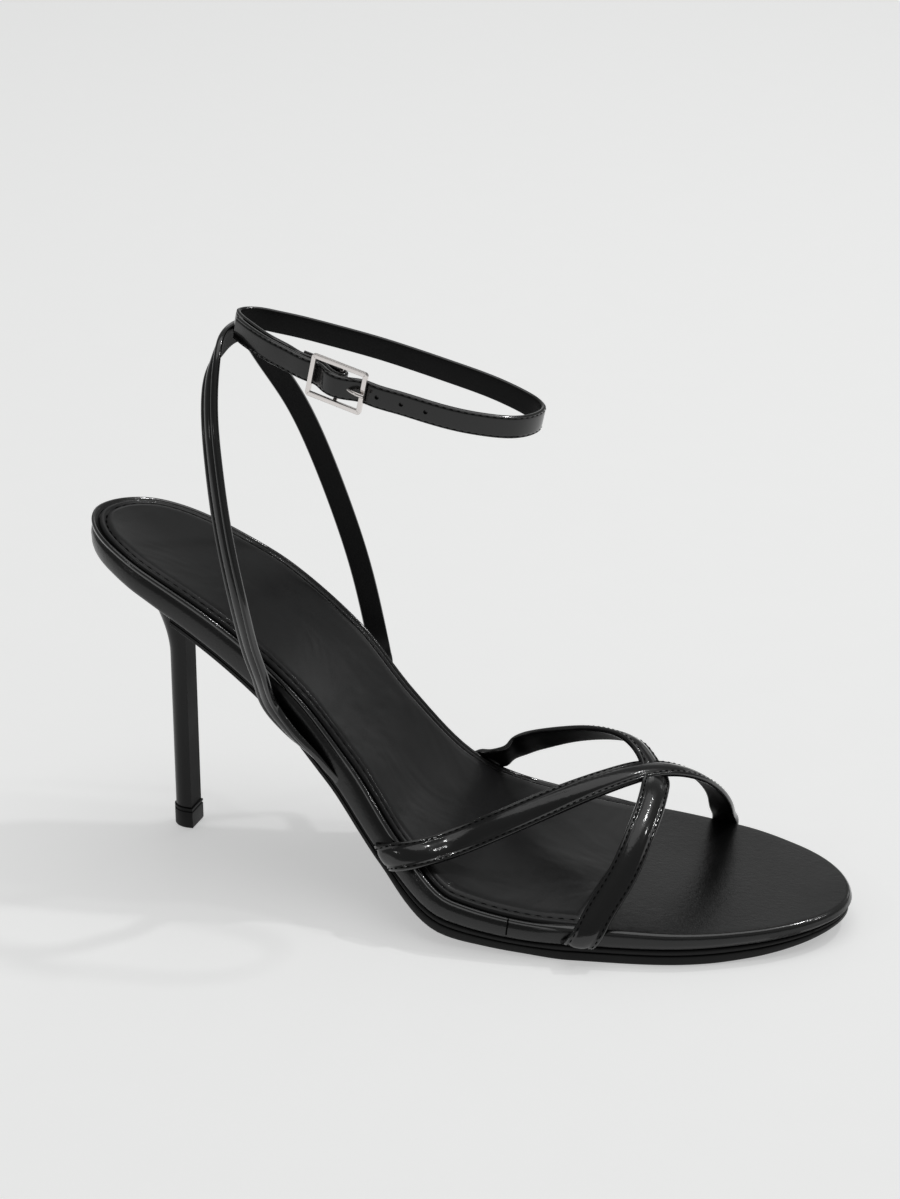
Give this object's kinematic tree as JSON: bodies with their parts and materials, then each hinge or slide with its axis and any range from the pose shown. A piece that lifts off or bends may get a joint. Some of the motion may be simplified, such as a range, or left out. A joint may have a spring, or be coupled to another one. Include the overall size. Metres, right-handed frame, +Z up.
{
  "type": "strappy heeled sandal",
  "caption": "Open sandal with a slender high heel, crossed toe straps, two side straps and a buckled ankle strap, made for the right foot.",
  "frame": {"origin": "on the floor, at the middle of the heel tip's base", "axes": "+X towards the toe, +Y towards the medial side of this right shoe, +Z up"},
  "size_m": [0.2171, 0.0828, 0.1566],
  "materials": {
    "board_leather": "smooth, semi-gloss",
    "sock_leather": "satin",
    "strap_leather": "glossy, finely creased",
    "sole_rubber": "matte",
    "heel_cover": "smooth, semi-gloss",
    "tip_rubber": "matte",
    "metal": "polished nickel"
  },
  "bodies": {
    "root": {"outsole": "sole_rubber", "insole_board": "board_leather", "sock_pad": "sock_leather", "toe_straps": "strap_leather", "side_straps": "strap_leather", "ankle_strap": "strap_leather", "buckle_frame": "metal", "buckle_prong": "metal", "heel": "heel_cover", "heel_tip": "tip_rubber"}
  },
  "joints": []
}
